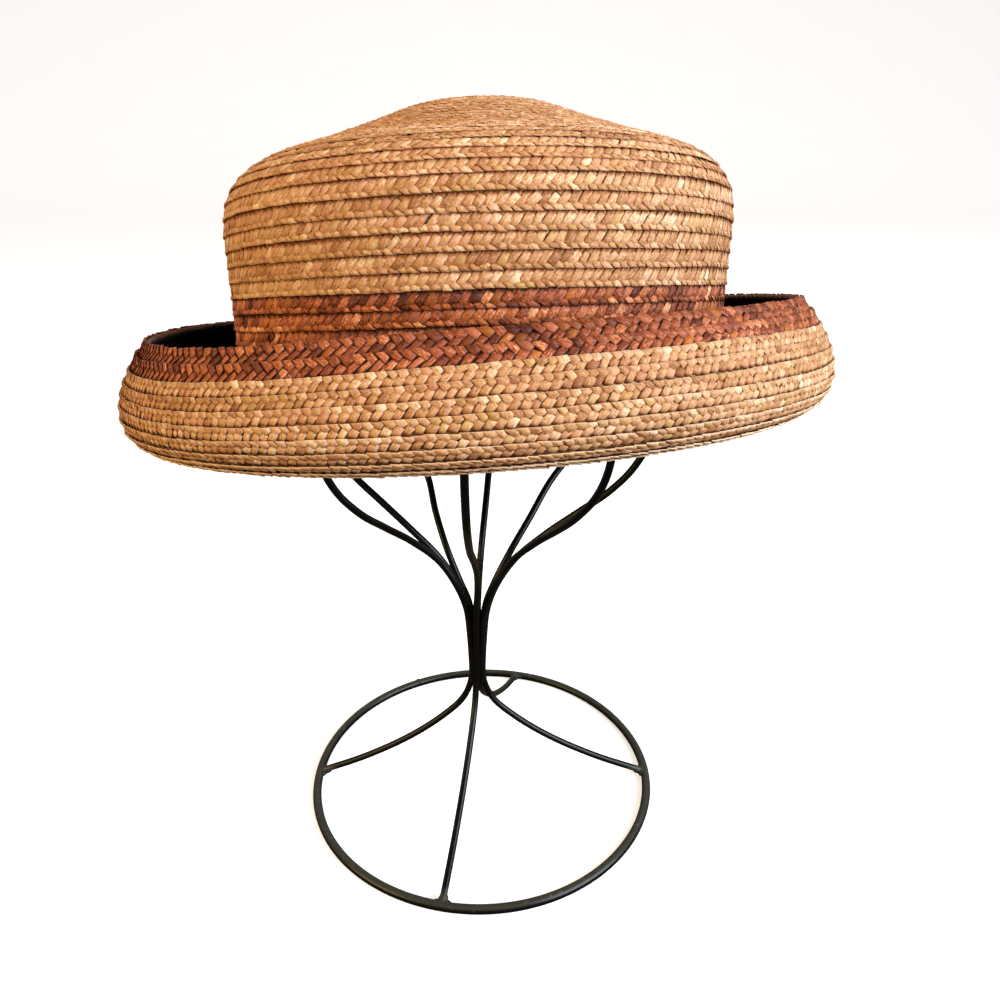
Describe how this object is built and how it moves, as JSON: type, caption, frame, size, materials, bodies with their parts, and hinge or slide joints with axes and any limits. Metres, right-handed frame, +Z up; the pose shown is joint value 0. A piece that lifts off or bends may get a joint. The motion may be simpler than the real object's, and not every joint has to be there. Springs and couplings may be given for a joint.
{
  "type": "straw bowler hat on a wire hat stand",
  "caption": "Straw bowler hat of sewn braid with a round crown, rust rows, a rolled-up brim faced in black, on a black wire tree stand with a ring base.",
  "frame": {"origin": "on the floor, under the middle of the whole object's box; the stand's ring is centred 0.2 mm to its left and 6.8 mm behind it", "axes": "+Z up; the hat's front faces -Y and its length lies along X, with +X to the right seen from the front; the crown leans back towards +Y by 12 degrees"},
  "size_m": [0.288, 0.257, 0.3378],
  "materials": {
    "natural_straw": "satin natural straw braid",
    "rust_straw": "satin dyed straw braid",
    "black_facing": "matt black braid",
    "black_wire": "semi-gloss black paint"
  },
  "bodies": {
    "root": {"crown": "natural_straw", "crown_band": "rust_straw", "brim": "natural_straw", "brim_edge": "rust_straw", "brim_facing": "black_facing", "wire_stand": "black_wire"}
  },
  "joints": []
}
